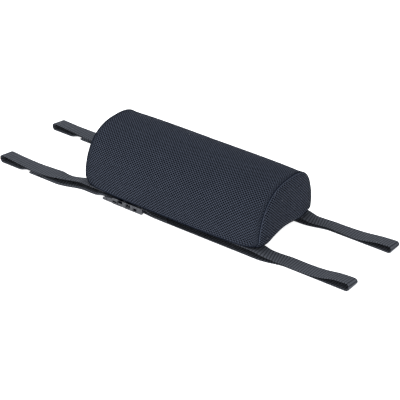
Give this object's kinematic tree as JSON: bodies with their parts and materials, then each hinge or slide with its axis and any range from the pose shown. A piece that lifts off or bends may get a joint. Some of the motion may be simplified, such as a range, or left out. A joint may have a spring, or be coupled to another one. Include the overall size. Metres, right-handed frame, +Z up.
{
  "type": "lumbar support cushion",
  "caption": "Half-round lumbar cushion in black spacer mesh, with a flat zipped base and adjustable webbing belts that fasten round a backrest with side-release buckles.",
  "frame": {"origin": "centre of the bounding box's underside, on the surface that the cushion lies on", "axes": "+X runs along the cushion to the ends of its belt loops, +Y points to its rear long side and +Z points up, away from the flat base"},
  "size_m": [0.6, 0.1676, 0.0988],
  "materials": {
    "foam": "matt open-cell foam",
    "spacer_mesh": "black knitted spacer mesh with small open holes",
    "webbing": "black woven webbing with fine cross ribs",
    "thread": "black polyester thread",
    "zip_tape": "black woven tape",
    "zip_coil": "black nylon coil",
    "zip_metal": "black painted zinc",
    "buckle_plastic": "black acetal with a slight sheen"
  },
  "bodies": {
    "cushion": {"foam_core": "foam", "cover_wrap_panel": "spacer_mesh", "cover_end_left": "spacer_mesh", "cover_end_right": "spacer_mesh", "cover_base_front": "spacer_mesh", "cover_base_rear": "spacer_mesh", "cover_belt_strip_front": "spacer_mesh", "cover_belt_strip_rear": "spacer_mesh", "end_seam_left": "spacer_mesh", "end_seam_right": "spacer_mesh", "base_seam_front": "spacer_mesh", "base_seam_rear": "spacer_mesh", "zip_tape_front": "zip_tape", "zip_tape_rear": "zip_tape", "zip_coil_front": "zip_coil", "zip_coil_rear": "zip_coil", "zip_stop_left": "zip_metal", "zip_stop_right": "zip_metal", "front_sewn_web": "webbing", "front_loop_web": "webbing", "front_adjuster_web": "webbing", "front_bartack_left": "thread", "front_bartack_right": "thread", "front_flap_stitch": "thread", "front_hem_stitch": "thread", "front_stitch_row_front": "thread", "front_stitch_row_rear": "thread", "front_buckle_socket": "buckle_plastic", "rear_sewn_web": "webbing", "rear_loop_web": "webbing", "rear_adjuster_web": "webbing", "rear_bartack_left": "thread", "rear_bartack_right": "thread", "rear_flap_stitch": "thread", "rear_hem_stitch": "thread", "rear_stitch_row_front": "thread", "rear_stitch_row_rear": "thread", "rear_buckle_socket": "buckle_plastic"},
    "zip_slider": {"zip_slider": "zip_metal"},
    "zip_pull_tab": {"zip_pull_tab": "zip_metal"},
    "front_plug": {"front_buckle_plug": "buckle_plastic"},
    "front_prong_front": {"front_buckle_prong_front": "buckle_plastic"},
    "front_prong_rear": {"front_buckle_prong_rear": "buckle_plastic"},
    "rear_plug": {"rear_buckle_plug": "buckle_plastic"},
    "rear_prong_front": {"rear_buckle_prong_front": "buckle_plastic"},
    "rear_prong_rear": {"rear_buckle_prong_rear": "buckle_plastic"}
  },
  "joints": [
    {"name": "zip_slide", "type": "slide", "parent": "cushion", "child": "zip_slider", "axis": [-1, 0, 0], "range_m": [0, 0.252]},
    {"name": "zip_pull_hinge", "type": "hinge", "parent": "zip_slider", "child": "zip_pull_tab", "pos_m": [0.1335, 0.00225, 0.0098], "axis": [0, 1, 0], "range_deg": [0, 180]},
    {"name": "front_buckle_release", "type": "slide", "parent": "cushion", "child": "front_plug", "axis": [-1, 0, 0], "range_m": [0, 0.032], "deforming": ["front_adjuster_web", "front_buckle_prong_front", "front_buckle_prong_rear"]},
    {"name": "front_prong_front_pinch", "type": "hinge", "parent": "front_plug", "child": "front_prong_front", "pos_m": [-0.0677, -0.07265, 0.0047], "axis": [0, 0, 1], "range_deg": [0, 11], "stiffness_Nm_per_rad": 0.1},
    {"name": "front_prong_rear_pinch", "type": "hinge", "parent": "front_plug", "child": "front_prong_rear", "pos_m": [-0.0677, -0.04685, 0.0047], "axis": [0, 0, 1], "range_deg": [-11, 0], "stiffness_Nm_per_rad": 0.1},
    {"name": "rear_buckle_release", "type": "slide", "parent": "cushion", "child": "rear_plug", "axis": [-1, 0, 0], "range_m": [0, 0.032], "deforming": ["rear_adjuster_web", "rear_buckle_prong_front", "rear_buckle_prong_rear"]},
    {"name": "rear_prong_front_pinch", "type": "hinge", "parent": "rear_plug", "child": "rear_prong_front", "pos_m": [-0.0677, 0.04935, 0.0047], "axis": [0, 0, 1], "range_deg": [0, 11], "stiffness_Nm_per_rad": 0.1},
    {"name": "rear_prong_rear_pinch", "type": "hinge", "parent": "rear_plug", "child": "rear_prong_rear", "pos_m": [-0.0677, 0.07515, 0.0047], "axis": [0, 0, 1], "range_deg": [-11, 0], "stiffness_Nm_per_rad": 0.1}
  ],
  "couplings": [
    {"joint": "front_prong_rear_pinch", "follows": "front_prong_front_pinch", "ratio": -1},
    {"joint": "rear_prong_rear_pinch", "follows": "rear_prong_front_pinch", "ratio": -1}
  ]
}
